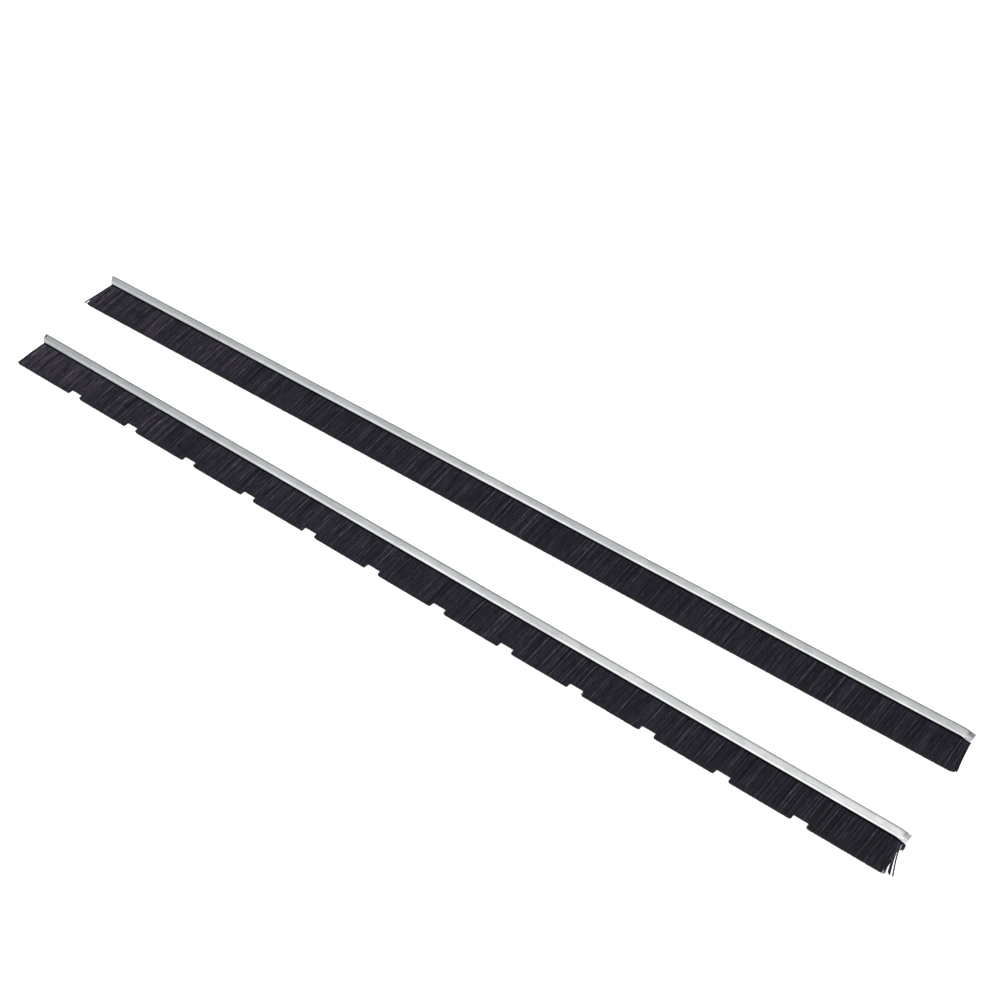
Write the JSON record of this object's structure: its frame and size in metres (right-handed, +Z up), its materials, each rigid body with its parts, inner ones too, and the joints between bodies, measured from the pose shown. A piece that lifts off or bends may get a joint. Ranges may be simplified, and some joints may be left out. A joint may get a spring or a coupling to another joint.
{
  "type": "strip brush door sweep",
  "caption": "Metal-backed strip brush door sweep: a plain-edged strip and a notched-edge strip, with dark nylon filaments clamped in a galvanised channel.",
  "frame": {"origin": "on the surface the strips lie on, under the middle of the pair's bounding box", "axes": "+X along the plain strip towards its crimped end, +Y from the filament tips towards the channel backs, +Z up from the surface"},
  "size_m": [1.0182, 0.1704, 0.0094],
  "materials": {
    "galvanised_sheet": "zinc-coated, satin with a faint spangle",
    "core_wire": "drawn wire",
    "clamped_filament": "packed crimp-free nylon filament",
    "free_filament": "loose nylon filament with a soft sheen"
  },
  "bodies": {
    "plain_strip": {"plain_channel": "galvanised_sheet", "plain_core_wire": "core_wire", "plain_clamped_filaments": "clamped_filament"},
    "plain_filament_row": {"plain_free_filaments": "free_filament"},
    "notched_strip": {"notched_channel": "galvanised_sheet", "notched_core_wire": "core_wire", "notched_clamped_filaments": "clamped_filament"},
    "notched_filament_row": {"notched_long_filaments": "free_filament", "notched_short_filaments": "free_filament"}
  },
  "joints": [
    {"name": "plain_filament_flex", "type": "hinge", "parent": "plain_strip", "child": "plain_filament_row", "pos_m": [-0.00231, 0.07113, 0.0047], "axis": [-1, 0, 0], "range_deg": [-30, 30], "stiffness_Nm_per_rad": 5},
    {"name": "strip_spacing", "type": "slide", "parent": "plain_strip", "child": "notched_strip", "axis": [0, -1, 0], "range_m": [-0.045, 0.15]},
    {"name": "notched_filament_flex", "type": "hinge", "parent": "notched_strip", "child": "notched_filament_row", "pos_m": [0.00625, -0.04437, 0.0047], "axis": [-0.9998, 0.0178, 0], "range_deg": [-30, 30], "stiffness_Nm_per_rad": 5}
  ]
}
